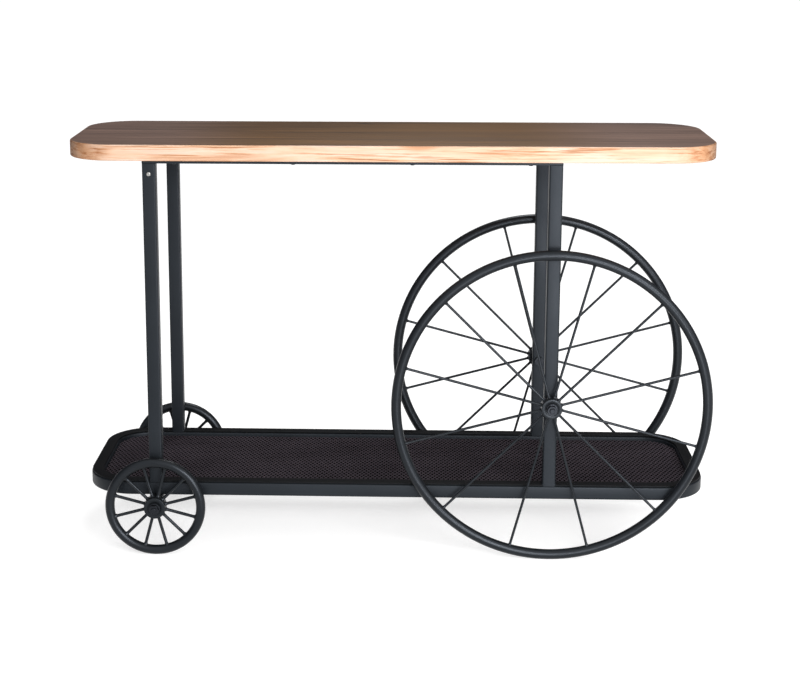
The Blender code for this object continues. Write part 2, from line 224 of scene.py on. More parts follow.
def pale_wood(settings):
    """Mango wood, sawn and sanded, left bare on the edge of the board: cream, with
    long brown streaks, fine fibres and small knots, matt, and darker towards the two ends,
    partly browner end grain and partly painted shade."""
    material, tree, shader, place = new_material("mango_wood_sanded_edge")
    # growth layers are 30 mm apart and run some 300 mm along the board, at a slant
    lay = add(tree, "ShaderNodeMapping", {
        "Vector": place, "Rotation": (0, math.radians(3), math.radians(1.5)),
        "Location": (0.11, 0.35, 0.02), "Scale": (3.3, 30, 34)})
    drift = add(tree, "ShaderNodeTexNoise", {
        "Vector": lay.outputs[0], "Scale": 1.0, "Detail": 4, "Roughness": 0.55,
        "Distortion": 0.9})
    streak = add(tree, "ShaderNodeValToRGB", {"Fac": drift.outputs["Fac"]}, stops=(
        (0.40, linear("#f4e5d2")), (0.55, linear("#ecd3b4")),
        (0.66, linear("#d8b592")), (0.74, linear("#bf9470"))))
    # narrow brown veins, 4 mm apart, that climb slowly from one face to the other
    climb = add(tree, "ShaderNodeMapping", {
        "Vector": place, "Rotation": (0, math.radians(-7), 0),
        "Location": (0.4, 0.1, 0.3), "Scale": (7.0, 60, 260)})
    vein = add(tree, "ShaderNodeTexNoise", {
        "Vector": climb.outputs[0], "Scale": 1.0, "Detail": 5, "Roughness": 0.62,
        "Distortion": 0.5})
    veined = add(tree, "ShaderNodeValToRGB", {"Fac": vein.outputs["Fac"]}, stops=(
        (0.51, grey(1.0)), (0.59, linear("#dcc09f")), (0.69, linear("#a8805c"))))
    layered = add(tree, "ShaderNodeMix", {
        FACTOR: 0.9, FIRST: streak.outputs[0], SECOND: veined.outputs[0]}, **MULTIPLY)
    # fibres, drawn 1.4 mm across, because real ones are too fine to show
    thread = add(tree, "ShaderNodeMapping", {"Vector": place, "Scale": (18, 700, 700)})
    fibre = add(tree, "ShaderNodeTexNoise", {
        "Vector": thread.outputs[0], "Scale": 1.0, "Detail": 3, "Roughness": 0.6})
    fine = add(tree, "ShaderNodeValToRGB", {"Fac": fibre.outputs["Fac"]}, stops=(
        (0.30, grey(0.80)), (0.62, grey(1.0))))
    body = add(tree, "ShaderNodeMix", {
        FACTOR: 0.8, FIRST: layered.outputs[MIXED], SECOND: fine.outputs[0]}, **MULTIPLY)
    # knots: a dark heart every 380 mm or so
    spread = add(tree, "ShaderNodeMapping", {
        "Vector": place, "Location": (0.37, 0.1, 0.23), "Scale": (2.6, 3.0, 7.0)})
    knot = add(tree, "ShaderNodeTexVoronoi", {
        "Vector": spread.outputs[0], "Scale": 1.0, "Randomness": 0.9})
    heart = add(tree, "ShaderNodeValToRGB", {"Fac": knot.outputs["Distance"]}, stops=(
        (0.02, linear("#8e6242")), (0.09, linear("#e6cbb0")), (0.13, grey(1.0))))
    knotted = add(tree, "ShaderNodeMix", {
        FACTOR: 0.85, FIRST: body.outputs[MIXED], SECOND: heart.outputs[0]}, **MULTIPLY)
    # darker towards the two ends: partly browner end grain, partly painted shade where the
    # edge turns away from the light
    along = add(tree, "ShaderNodeSeparateXYZ", {"Vector": place})
    reach = add(tree, "ShaderNodeMath", {0: along.outputs["X"]}, operation="ABSOLUTE")
    wander = add(tree, "ShaderNodeTexNoise", {"Vector": place, "Scale": 45.0, "Detail": 3})
    ragged = add(tree, "ShaderNodeMath", {
        0: wander.outputs["Fac"], 1: 0.05, 2: reach.outputs[0]}, operation="MULTIPLY_ADD")
    near_end = add(tree, "ShaderNodeMapRange", {
        "Value": ragged.outputs[0], "From Min": 0.53, "From Max": 0.645})
    end = add(tree, "ShaderNodeValToRGB", {"Fac": near_end.outputs[0]}, stops=(
        (0.0, grey(1.0)), (0.55, linear("#e2cdb4")), (1.0, linear("#938474"))))
    ended = add(tree, "ShaderNodeMix", {
        FACTOR: 1.0, FIRST: knotted.outputs[MIXED], SECOND: end.outputs[0]}, **MULTIPLY)
    tint = add(tree, "ShaderNodeMix", {
        FACTOR: 1.0, FIRST: ended.outputs[MIXED],
        SECOND: (*settings.edge_colour, 1.0)}, **MULTIPLY)
    tree.links.new(tint.outputs[MIXED], shader.inputs["Base Color"])
    rough = add(tree, "ShaderNodeMapRange", {
        "Value": fibre.outputs["Fac"], "To Min": 0.62, "To Max": 0.78})
    tree.links.new(rough.outputs[0], shader.inputs["Roughness"])
    bump = add(tree, "ShaderNodeBump", {
        "Height": fibre.outputs["Fac"], "Strength": 0.25, "Distance": 0.0006})
    tree.links.new(bump.outputs[0], shader.inputs["Normal"])
    shader.inputs["Specular IOR Level"].default_value = 0.3
    return material


def dark_wood(settings):
    """Mango wood, planed and oiled dark on the face of the board: a satin brown in which
    long grain, fibres and small knots show, painted greyer towards the two ends as a painted
    reflection."""
    material, tree, shader, place = new_material("mango_wood_oiled_face")
    # growth layers, 18 mm across and some 600 mm long
    lay = add(tree, "ShaderNodeMapping", {
        "Vector": place, "Location": (0.7, 0.2, 0.0), "Scale": (1.6, 56, 56)})
    layer = add(tree, "ShaderNodeTexNoise", {
        "Vector": lay.outputs[0], "Scale": 1.0, "Detail": 7, "Roughness": 0.68,
        "Distortion": 0.8})
    grain = add(tree, "ShaderNodeValToRGB", {"Fac": layer.outputs["Fac"]}, stops=(
        (0.35, grey(0.42)), (0.46, grey(0.82)), (0.55, grey(1.04)), (0.66, grey(1.45))))
    # fibres, drawn 1.5 mm across, because real ones are too fine to show
    thread = add(tree, "ShaderNodeMapping", {"Vector": place, "Scale": (9, 650, 650)})
    fibre = add(tree, "ShaderNodeTexNoise", {
        "Vector": thread.outputs[0], "Scale": 1.0, "Detail": 3, "Roughness": 0.65})
    fine = add(tree, "ShaderNodeValToRGB", {"Fac": fibre.outputs["Fac"]}, stops=(
        (0.30, grey(0.66)), (0.66, grey(1.12))))
    both = add(tree, "ShaderNodeMix", {
        FACTOR: 0.8, FIRST: grain.outputs[0], SECOND: fine.outputs[0]}, **MULTIPLY)
    # painted reflection: the face is painted greyer towards the two ends, where it would
    # mirror the paler far sides
    along = add(tree, "ShaderNodeSeparateXYZ", {"Vector": place})
    reach = add(tree, "ShaderNodeMath", {0: along.outputs["X"]}, operation="ABSOLUTE")
    ragged = add(tree, "ShaderNodeMath", {
        0: layer.outputs["Fac"], 1: 0.12, 2: reach.outputs[0]}, operation="MULTIPLY_ADD")
    wear_and_end_reflection = add(tree, "ShaderNodeMapRange", {
        "Value": ragged.outputs[0], "From Min": 0.29, "From Max": 0.52},
        interpolation_type="SMOOTHSTEP")
    colour = add(tree, "ShaderNodeMix", {
        FACTOR: wear_and_end_reflection.outputs[0], FIRST: (*settings.face_colour, 1.0),
        SECOND: (*settings.painted_end_reflection_colour, 1.0)}, data_type="RGBA")
    tint = add(tree, "ShaderNodeMix", {
        FACTOR: 1.0, FIRST: both.outputs[MIXED], SECOND: colour.outputs[MIXED]}, **MULTIPLY)
    # small dark knots, 7 mm across and 18 mm long
    spread = add(tree, "ShaderNodeMapping", {
        "Vector": place, "Location": (0.13, 0.42, 0.0), "Scale": (3.4, 9.0, 9.0)})
    knot = add(tree, "ShaderNodeTexVoronoi", {"Vector": spread.outputs[0], "Scale": 1.0})
    heart = add(tree, "ShaderNodeValToRGB", {"Fac": knot.outputs["Distance"]}, stops=(
        (0.03, grey(0.35)), (0.09, grey(1.0))))
    knotted = add(tree, "ShaderNodeMix", {
        FACTOR: 1.0, FIRST: tint.outputs[MIXED], SECOND: heart.outputs[0]}, **MULTIPLY)
    tree.links.new(knotted.outputs[MIXED], shader.inputs["Base Color"])
    rough = add(tree, "ShaderNodeMapRange", {
        "Value": layer.outputs["Fac"], "From Min": 0.3, "From Max": 0.7,
        "To Min": 0.46, "To Max": 0.58})
    tree.links.new(rough.outputs[0], shader.inputs["Roughness"])
    bump = add(tree, "ShaderNodeBump", {
        "Height": fibre.outputs["Fac"], "Strength": 0.2, "Distance": 0.0004})
    tree.links.new(bump.outputs[0], shader.inputs["Normal"])
    shader.inputs["Specular IOR Level"].default_value = 0.18
    return material


def powder_coat(name, colour, roughness, sheen=0.24, peel=0.0016, painted_top_light=1.0):
    """Black polyester powder, sprayed and baked on steel: blue-black, satin, with an
    orange-peel skin, faint clouding, a few paler rubs, and a painted highlight on upward
    faces."""
    material, tree, shader, place = new_material(name)
    # clouding in patches 110 mm across, and rubs 6 mm across
    cloud = add(tree, "ShaderNodeTexNoise", {"Vector": place, "Scale": 9.0, "Detail": 5})
    shade = add(tree, "ShaderNodeValToRGB", {"Fac": cloud.outputs["Fac"]}, stops=(
        (0.30, grey(0.80)), (0.70, grey(1.18))))
    rub = add(tree, "ShaderNodeTexNoise", {
        "Vector": place, "Scale": 160.0, "Detail": 6, "Roughness": 0.7})
    wear_and_end_reflection = add(tree, "ShaderNodeValToRGB", {"Fac": rub.outputs["Fac"]}, stops=(
        (0.60, grey(1.0)), (0.78, grey(1.5))))
    both = add(tree, "ShaderNodeMix", {
        FACTOR: 1.0, FIRST: shade.outputs[0], SECOND: wear_and_end_reflection.outputs[0]}, **MULTIPLY)
    tint = add(tree, "ShaderNodeMix", {
        FACTOR: 1.0, FIRST: both.outputs[MIXED], SECOND: (*colour, 1.0)}, **MULTIPLY)
    # painted highlight: what faces up is painted paler than the flanks by this ratio, as light
    # from above would make it
    facing = add(tree, "ShaderNodeTexCoord")
    height = add(tree, "ShaderNodeSeparateXYZ", {"Vector": facing.outputs["Normal"]})
    flank = add(tree, "ShaderNodeValToRGB", {"Fac": height.outputs["Z"]}, stops=(
        (0.2, grey(1.0)), (0.9, grey(painted_top_light))))
    painted_top_lit = add(tree, "ShaderNodeMix", {
        FACTOR: 1.0, FIRST: tint.outputs[MIXED], SECOND: flank.outputs[0]}, **MULTIPLY)
    tree.links.new(painted_top_lit.outputs[MIXED], shader.inputs["Base Color"])
    rough = add(tree, "ShaderNodeMapRange", {
        "Value": cloud.outputs["Fac"], "From Min": 0.3, "From Max": 0.7,
        "To Min": roughness - 0.05, "To Max": roughness + 0.05})
    tree.links.new(rough.outputs[0], shader.inputs["Roughness"])
    # the peel's cells are 0.5 mm on the real coat and are drawn larger so they show
    skin = add(tree, "ShaderNodeTexNoise", {"Vector": place, "Scale": 1 / peel, "Detail": 1})
    bump = add(tree, "ShaderNodeBump", {
        "Height": skin.outputs["Fac"], "Strength": 0.18, "Distance": 0.0003})
    tree.links.new(bump.outputs[0], shader.inputs["Normal"])
    shader.inputs["Specular IOR Level"].default_value = sheen
    shader.inputs["Specular Tint"].default_value = (*linear("#dde6f3"), 1.0)
    return material


def small_steel(name, colour, roughness):
    """Small steel hardware, headed or turned and then blackened or zinc-plated: a dark
    or a bright metal, whose tone and gloss vary with its tool marks."""
    material, tree, shader, place = new_material(name)
    # the marks are drawn 1 mm apart, because real ones are too fine to show
    mark = add(tree, "ShaderNodeTexNoise", {
        "Vector": place, "Scale": 900.0, "Detail": 3, "Roughness": 0.6})
    shade = add(tree, "ShaderNodeValToRGB", {"Fac": mark.outputs["Fac"]}, stops=(
        (0.3, tuple(c * 0.8 for c in colour)), (0.7, colour)))
    tree.links.new(shade.outputs[0], shader.inputs["Base Color"])
    rough = add(tree, "ShaderNodeMapRange", {
        "Value": mark.outputs["Fac"], "To Min": roughness - 0.08, "To Max": roughness + 0.08})
    tree.links.new(rough.outputs[0], shader.inputs["Roughness"])
    shader.inputs["Metallic"].default_value = 1.0
    return material


def stock(name):
    """The named finish, made the first time that it is asked for."""
    board, paint = bpy.context.scene.bar_cart_board, bpy.context.scene.bar_cart_paint
    makers = {
        "mango_wood_sanded_edge": lambda: pale_wood(board),
        "mango_wood_oiled_face": lambda: dark_wood(board),
        "black_powder_coat_steel": lambda: powder_coat(
            name, paint.frame_colour, paint.frame_roughness),
        "black_powder_coat_wheel": lambda: powder_coat(
            name, paint.wheel_colour, paint.wheel_roughness),
        # the mesh: flanks painted dark as painted shade in the gaps, tops painted 20 times
        # paler as a painted highlight
        "black_powder_coat_mesh": lambda: powder_coat(
            name, paint.mesh_colour, paint.mesh_roughness, sheen=0.03, peel=0.004,
            painted_top_light=20.0),
        # painted shade: the frame's coat painted darker, so the flat bar's level top looks
        # shaded
        "black_powder_coat_flat_bar_painted_shade": lambda: powder_coat(
            name, linear("#070707"), 0.55, sheen=0.12),
        "blackened_steel_hardware": lambda: small_steel(name, linear("#2a2c30"), 0.42),
        "zinc_plated_screw": lambda: small_steel(name, linear("#a9a8a5"), 0.3),
    }
    return bpy.data.materials.get(name) or makers[name]()


# ---------------------------------------------------------------- settings

def length_setting(name, description, default, low, high):
    return bpy.props.FloatProperty(
        name=name, description=description, default=default, min=low, max=high,
        subtype="DISTANCE", unit="LENGTH")


def colour_setting(name, description, code):
    return bpy.props.FloatVectorProperty(
        name=name, description=description, default=linear(code), min=0, max=1, size=3,
        subtype="COLOR")


def roughness_setting(name, description, default):
    return bpy.props.FloatProperty(
        name=name, description=description, default=default, min=0.1, max=1,
        subtype="FACTOR")


def power_setting(name, description, default):
    return bpy.props.FloatProperty(
        name=name, description=description, default=default, min=0, unit="POWER")


class BoardSettings(bpy.types.PropertyGroup):
    corner: length_setting("Corner", "Radius of the board's corners in plan",
                           0.090, 0.01, 0.17)
    arris: length_setting("Edge", "Radius sanded on the board's edges",
                          0.0025, 0.0005, 0.01)
    face_colour: colour_setting("Face", "Colour of the oiled face", "#573c1d")
    # the face's ends: a painted reflection, painted greyer than the middle of the face
    painted_end_reflection_colour: colour_setting("Face ends", "Colour of the oiled face at its two ends",
                               "#634f45")
    edge_colour: colour_setting("Edge tint", "Tint over the pale edge", "#c6b7b5")


class FrameSettings(bpy.types.PropertyGroup):
    tube_corner: length_setting("Tube corner", "Outer corner radius of the square tube",
                                0.003, 0.0005, 0.008)
    bend: length_setting("Tray corner", "Outer radius of the tray's bent corners",
                         0.090, 0.03, 0.16)
    weld: length_setting("Weld", "Leg length of the weld fillets", 0.003, 0.001, 0.006)


class MeshSettings(bpy.types.PropertyGroup):
    long_way: length_setting("Long way", "Length of one diamond, across the tray",
                             0.017, 0.008, 0.06)
    short_way: length_setting("Short way", "Width of one diamond, along the tray",
                              0.0086, 0.004, 0.03)
    strand: length_setting("Strand", "Width of one strand", 0.0027, 0.0008, 0.006)
    depth: length_setting("Depth", "Height of the raised mesh", 0.0046, 0.001, 0.006)


class WheelSettings(bpy.types.PropertyGroup):
    spokes: bpy.props.IntProperty(
        name="Spokes", description="Number of spokes in each wheel", default=12, min=4, max=24)
    big_tube: length_setting("Big rim tube", "Radius of the big wheels' rim tube",
                             0.0095, 0.004, 0.02)
    small_tube: length_setting("Small rim tube", "Radius of the small wheels' rim tube",
                               0.009, 0.004, 0.02)
    big_spoke: length_setting("Big spoke", "Radius of the big wheels' spokes",
                              0.0025, 0.001, 0.006)
    small_spoke: length_setting("Small spoke", "Radius of the small wheels' spokes",
                                0.003, 0.001, 0.006)
    big_hub: length_setting("Big hub", "Radius of the big wheels' hubs",
                            0.0195, 0.01, 0.04)
    small_hub: length_setting("Small hub", "Radius of the small wheels' hubs",
                              0.0205, 0.01, 0.04)


class PaintSettings(bpy.types.PropertyGroup):
    frame_colour: colour_setting("Frame", "Colour of the frame's powder coat", "#0f1215")
    frame_roughness: roughness_setting(
        "Frame roughness", "Roughness of the frame's powder coat", 0.48)
    wheel_colour: colour_setting("Wheels", "Colour of the wheels' powder coat", "#0e1012")
    wheel_roughness: roughness_setting(
        "Wheel roughness", "Roughness of the wheels' powder coat", 0.34)
    # painted shade: darker than the frame's coat, so that the mesh's flanks and gaps look
    # shaded
    mesh_colour: colour_setting("Mesh", "Colour of the mesh's powder coat", "#060506")
    mesh_roughness: roughness_setting(
        "Mesh roughness", "Roughness of the mesh's powder coat", 0.40)


class StageSettings(bpy.types.PropertyGroup):
    floor_colour: colour_setting("Floor", "Colour of the floor", "#b9b9b9")
    floor_glow: bpy.props.FloatProperty(
        name="Floor glow", description="Light that comes through the floor",
        default=1.3, min=0, max=3)
    sky: bpy.props.FloatProperty(
        name="Sky", description="Strength of the soft window", default=1.5, min=0, max=10)
    key: power_setting("Key", "Power of the front softbox", 125.0)
    top: power_setting("Overhead", "Power of the overhead softbox", 24.0)
    back: power_setting("Backdrop", "Power of the light on the floor behind", 60.0)


# ---------------------------------------------------------------- sizes that stay fixed

# side of the square tube, and the gap that the frame leaves where pieces touch
TUBE = 0.025
GAP = 0.0003
# M10 axles: the bolt's radius, its head's height, and the width across the flats
AXLE = 0.005
BOLT_HEAD = 0.0064
FLATS = 0.017
# radii of the bores that clear the bolt, and of the washer's seat in a hub
HUB_BORE = 0.0054
WASHER_BORE = 0.0053
NUT_BORE = 0.0052
SEAT = 0.0132
# height of a screw's head
SCREW_HEAD = 0.0022
# two places closer than this are one
SAME = 0.00001


# ---------------------------------------------------------------- frame

def block(name, node):
    """A block that fills a CAD node's box."""
    low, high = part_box(node)
    return start("cube", name, size=1, location=(low + high) / 2, stretch=high - low)


def bar(name, node, along, corner, segments):
    """A bar or square tube at a CAD node's place, with its long edges rounded."""
    piece = block(name, node)
    pick(piece, "EDGE", lambda c, d: abs(d[along]) > 0.9)
    bpy.ops.mesh.bevel(offset=corner, segments=segments, affect="EDGES")
    return piece


class BARCART_OT_wooden_top(bpy.types.Operator):
    """The board: pale sanded edges and a dark oiled face"""
    bl_idname = "barcart.wooden_top"
    bl_label = "Wooden top"

    def execute(self, context):
        board = context.scene.bar_cart_board
        low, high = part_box("table_top")
        piece = block("wooden_top", "table_top")
        pick(piece, "EDGE", lambda c, d: abs(d.z) > 0.9)
        bpy.ops.mesh.bevel(offset=board.corner, segments=28, affect="EDGES")
        pick(piece, "EDGE", lambda c, d: c.z > high.z - SAME or c.z < low.z + SAME)
        bpy.ops.mesh.bevel(offset=board.arris, segments=4, affect="EDGES")
        clean()
        piece.data.materials.append(stock("mango_wood_sanded_edge"))
        piece.data.materials.append(stock("mango_wood_oiled_face"))
        for face in piece.data.polygons:
            face.material_index = 1 if face.normal.z > 0.99 else 0
        finish(piece, "frame", None, "wood", "table_top", smooth=35)
        return {"FINISHED"}


class BARCART_OT_top_bars(bpy.types.Operator):
    """The flat bars under the board"""
    bl_idname = "barcart.top_bars"
    bl_label = "Bars under the top"

    def execute(self, context):
        for node, along in (("top_rail_front", 0), ("top_rail_back", 0),
                            ("top_cross_left", 1), ("top_cross_right", 1)):
            piece = bar(node + "_bar", node, along, corner=0.0008, segments=2)
            # the sawn ends, with their burr filed off
            pick(piece, "FACE", lambda c, n: abs(n[along]) > 0.9)
            bpy.ops.mesh.bevel(offset=0.0005, segments=1, affect="EDGES")
            clean()
            finish(piece, "frame", stock("black_powder_coat_steel"), "powder_coat", node)
        return {"FINISHED"}


class BARCART_OT_legs(bpy.types.Operator):
    """The four square tubes, each with a fillet of weld round its foot"""
    bl_idname = "barcart.legs"
    bl_label = "Legs"

    def execute(self, context):
        shape = context.scene.bar_cart_frame
        steel = stock("black_powder_coat_steel")
        # the legs stand on the tray's flat bar, and the weld is sunk into it a little
        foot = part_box("tray_lip_front")[1].z
        sunk = 0.0004
        for node in LEGS:
            low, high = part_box(node)
            c = middle(node)
            half = (high.x - low.x) / 2
            piece = bar(node + "_tube", node, 2, shape.tube_corner, 5)
            # a narrow border round the cut ends keeps their shading flat
            pick(piece, "FACE", lambda c, n: abs(n.z) > 0.9)
            bpy.ops.mesh.inset(thickness=0.0004, depth=0.0)
            clean()
            finish(piece, "frame", steel, "powder_coat", node, smooth=40)
            bead = start("cube", node + "_weld", size=1,
                         location=(c.x, c.y, foot + shape.weld / 2 - sunk),
                         stretch=(2 * half, 2 * half, shape.weld))
            pick(bead, "EDGE", lambda c, d: abs(d.z) > 0.9)
            bpy.ops.mesh.bevel(offset=shape.tube_corner, segments=4, affect="EDGES")
            # it widens downwards along the flat bar, and stays as deep as the tube
            pick(bead, "FACE", lambda c, n: n.z < -0.9)
            spread = (half + shape.weld * 0.45) / half
            bpy.ops.transform.resize(value=(spread, 1, 1), center_override=(c.x, c.y, foot))
            pick(bead, "EDGE", lambda c, d: abs(d.z) < 0.9)
            bpy.ops.mesh.subdivide(number_cuts=3)
            bpy.ops.mesh.select_all(action="SELECT")
            bpy.ops.transform.vertex_random(offset=0.0002, seed=7)
            clean()
            finish(bead, "frame", steel, "powder_coat", smooth=60)
        return {"FINISHED"}


def bent_ring(name, nodes, width, corner, bend):
    """A bar swept round the tray on the tube's middle line, at the height of its CAD
    nodes: straight sides by extrude, corners by spin."""
    tube = [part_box(node) for node in TRAY_TUBE]
    low_x = min(low.x for low, high in tube)
    high_x = max(high.x for low, high in tube)
    outer = max(high.y for low, high in tube)
    z_low = min(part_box(node)[0].z for node in nodes)
    z_high = max(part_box(node)[1].z for node in nodes)
    z = (z_low + z_high) / 2
    left, right, side = low_x + bend, high_x - bend, outer - bend
    piece = start("plane", name, size=1, location=(left, TUBE / 2 - outer, z),
                  rotation=(0, math.radians(90), 0), stretch=(z_high - z_low, width, 1))
    pick_all("VERT")
    bpy.ops.mesh.bevel(offset=corner, segments=4, affect="VERTICES")
    pick_all("FACE")
    bpy.ops.mesh.delete(type="ONLY_FACE")
    pick_all("EDGE")
    # the bends' centres, from the front left one and back to it
    bends = [Vector(p) for p in ((left, -side, z), (right, -side, z), (right, side, z),
                                 (left, side, z), (left, -side, z))]
    for here, there in zip(bends, bends[1:]):
        extrude(*(there - here))
        bpy.ops.mesh.spin(steps=20, angle=math.radians(-90), center=there, axis=(0, 0, 1))
    clean(merge=0.00005)
    return piece


class BARCART_OT_tray_ring(bpy.types.Operator):
    """The square tube bent round the tray, and the flat bar on top of it"""
    bl_idname = "barcart.tray_ring"
    bl_label = "Tray ring"

    def execute(self, context):
        shape = context.scene.bar_cart_frame
        tube = bent_ring("tray_tube", TRAY_TUBE, TUBE, shape.tube_corner, shape.bend)
        finish(tube, "frame", stock("black_powder_coat_steel"), "powder_coat", *TRAY_TUBE,
               smooth=40)
        # the flat bar takes the frame's coat painted darker, as painted shade on its top
        flat = bent_ring("tray_flat_bar", TRAY_BAR, 0.022, 0.0009, shape.bend)
        finish(flat, "frame", stock("black_powder_coat_flat_bar_painted_shade"), "powder_coat", *TRAY_BAR,
               smooth=40)
        return {"FINISHED"}


class BARCART_OT_mesh_floor(bpy.types.Operator):
    """The raised diamond mesh of the tray's floor"""
    bl_idname = "barcart.mesh_floor"
    bl_label = "Mesh floor"

    def execute(self, context):
        shape = context.scene.bar_cart_mesh
        low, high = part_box("mesh_panel")
        across = round((high.x - low.x) / shape.short_way)
        rows = round((high.y - low.y) / shape.long_way)
        a, b = (high.x - low.x) / across, (high.y - low.y) / rows
        chamfer = 0.0004
        # one diamond: its rim is the ridge of a strand, and the inset slopes down
        cell = start("circle", "tray_mesh", vertices=4, radius=0.5, fill_type="NGON",
                     location=(low.x, low.y, shape.depth / 2), stretch=(a, b, 1))
        pick_all("FACE")
        bpy.ops.mesh.inset(thickness=shape.strand / 2 - chamfer, depth=0.0)
        bpy.ops.mesh.inset(thickness=chamfer, depth=-chamfer)
        extrude(z=chamfer - shape.depth / 2)
        bpy.ops.mesh.delete(type="FACE")
        deselect()
        modify(cell, "MIRROR", use_axis=(False, False, True), merge_threshold=0.0001)
        edit(cell)
        # the walls of the two halves are flat, so the seam between them goes
        pick(cell, "EDGE", lambda c, d: abs(c.z) < SAME and abs(d.z) < 0.1)
        bpy.ops.mesh.dissolve_edges()
        bpy.ops.mesh.select_all(action="SELECT")
        bpy.ops.transform.translate(value=(0, 0, high.z + chamfer - shape.depth / 2))
        deselect()
        other = twin(cell, "tray_mesh_other", Matrix.Translation((a / 2, b / 2, 0)))
        cell = join([cell, other], "tray_mesh")
        for count, step in ((across + 1, (a, 0, 0)), (rows + 1, (0, b, 0))):
            modify(cell, "ARRAY", count=count, use_relative_offset=False,
                   use_constant_offset=True, constant_offset_displace=step,
                   use_merge_vertices=False)
        # the sheet runs on into the wall of the tube, which hides its cut edge
        centre = middle("mesh_panel")
        corner = context.scene.bar_cart_frame.bend - TUBE - GAP
        reach = 0.004

        def outside(c, n):
            x = abs(c.x - centre.x) - ((high.x - low.x) / 2 - corner)
            y = abs(c.y - centre.y) - ((high.y - low.y) / 2 - corner)
            if x > 0 and y > 0:
                return math.hypot(x, y) > corner + reach
            return max(x, y) > corner + reach

        edit(cell)
        pick(cell, "FACE", outside)
        bpy.ops.mesh.delete(type="FACE")
        clean(merge=0.00005)
        # the mesh's coat carries painted shade on its flanks and a painted highlight on its
        # tops
        finish(cell, "frame", stock("black_powder_coat_mesh"), "mesh", "mesh_panel",
               smooth=50)
        return {"FINISHED"}


class BARCART_OT_stubs(bpy.types.Operator):
    """The short square tubes that carry the small wheels' axles, open at the bottom"""
    bl_idname = "barcart.stubs"
    bl_label = "Axle stubs"

    def execute(self, context):
        corner = context.scene.bar_cart_frame.tube_corner
        wall, hollow = 0.0015, 0.012
        for node in ("axle_stub_front", "axle_stub_back"):
            piece = bar(node + "_tube", node, 2, corner, 5)
            pick(piece, "FACE", lambda c, n: n.z < -0.9)
            bpy.ops.mesh.inset(thickness=wall, depth=0.0)
            extrude(z=hollow)
            clean()
            finish(piece, "frame", stock("black_powder_coat_steel"), "powder_coat", node,
                   smooth=40)
        return {"FINISHED"}


# ---------------------------------------------------------------- wheels

def wheel_size(body, part):
    """The setting for a part of this wheel, such as big_hub on a big wheel."""
    return getattr(bpy.context.scene.bar_cart_wheels, body.split("_")[0] + "_" + part)


def lathe(name, sides, radius, depth, centre):
    """A round bar along the Y axis, as a turned piece starts."""
    return start("cylinder", name, vertices=sides, radius=radius, depth=depth,
                 rotation=(math.radians(90), 0, 0), location=centre)


def off_axis(point, centre):
    """How far a point lies from the line through a centre along the Y axis."""
    return math.hypot(point.x - centre.x, point.z - centre.z)


def pick_ring(piece, centre, radius):
    """Selects the edges of the rings of one radius about that line."""
    pick(piece, "EDGE", lambda p, d: abs(off_axis(p, centre) - radius) < 0.0001
         and abs(d.y) < 0.1)


def turn(centre, angle):
    """A turn about that line."""
    return (Matrix.Translation(centre) @ Matrix.Rotation(angle, 4, "Y")
            @ Matrix.Translation(-centre))


class BARCART_OT_rims(bpy.types.Operator):
    """The four rims: round tube bent to a ring"""
    bl_idname = "barcart.rims"
    bl_label = "Rims"

    def execute(self, context):
        # the butt weld of a ring stands proud on a 10 mm stretch near the top
        weld_at, weld_reach, proud = 0.004, 0.005, 0.00015
        for body in WHEELS:
            node = body + "_rim"
            c, top = middle(node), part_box(node)[1].z
            tube = wheel_size(body, "tube")
            piece = start("circle", node + "_tube", vertices=24, radius=tube,
                          fill_type="NOTHING", rotation=(0, math.radians(90), 0),
                          location=(c.x, c.y, top - tube))
            bpy.ops.mesh.select_all(action="SELECT")
            bpy.ops.mesh.spin(steps=192 if body.startswith("big") else 120,
                              angle=math.tau, center=c, axis=(0, 1, 0))
            clean(merge=0.00005)
            edit(piece)
            pick(piece, "FACE", lambda p, n: p.z > c.z
                 and abs(p.x - c.x - weld_at) < weld_reach)
            bpy.ops.transform.shrink_fatten(value=proud)
            bpy.ops.object.mode_set(mode="OBJECT")
            finish(piece, body, stock("black_powder_coat_wheel"), "wheel_coat", node,
                   smooth=60)
        return {"FINISHED"}


def spoke_and_welds(name, centre, radius, inner, outer):
    """A round rod from hub to rim that swells into a weld at each end."""
    piece = start("cylinder", name, vertices=14, radius=radius, depth=outer - inner,
                  location=(centre.x, centre.y, centre.z + (inner + outer) / 2))
    # how far each ring of a weld is from the rod's end, and its width in rod widths
    swell = ((0.0050, 1.0), (0.0030, 1.15), (0.0012, 1.6), (0.0, 1.8))
    rings = [(centre.z + end + way * step, size)
             for end, way in ((inner, 1), (outer, -1)) for step, size in swell]
    for level, _ in rings:
        bpy.ops.mesh.select_all(action="SELECT")
        bpy.ops.mesh.bisect(plane_co=(centre.x, centre.y, level), plane_no=(0, 0, 1))
    for level, size in rings:
        pick(piece, "VERT", lambda p, n: abs(p.z - level) < SAME)
        bpy.ops.transform.resize(value=(size, size, 1),
                                 center_override=(centre.x, centre.y, level))
    clean()
    return piece


class BARCART_OT_spokes(bpy.types.Operator):
    """The spokes of the four wheels, with the weld at each end"""
    bl_idname = "barcart.spokes"
    bl_label = "Spokes"

    def execute(self, context):
        count = context.scene.bar_cart_wheels.spokes
        for body in WHEELS:
            c, top = middle(body + "_rim"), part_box(body + "_rim")[1].z
            # both ends are let into the steel that they are welded to
            inner = wheel_size(body, "hub") - 0.0012
            outer = top - c.z - 2 * wheel_size(body, "tube") + 0.0016
            first = spoke_and_welds(body + "_spokes", c, wheel_size(body, "spoke"),
                                    inner, outer)
            rods = [first]
            for k in range(1, count):
                rods.append(twin(first, f"{body}_spoke_{k}", turn(c, math.tau * k / count)))
            piece = join(rods, body + "_spokes")
            # at rest no spoke points straight up
            piece.data.transform(turn(c, math.radians(15)))
            finish(piece, body, stock("black_powder_coat_wheel"), "wheel_coat", smooth=50)
        return {"FINISHED"}


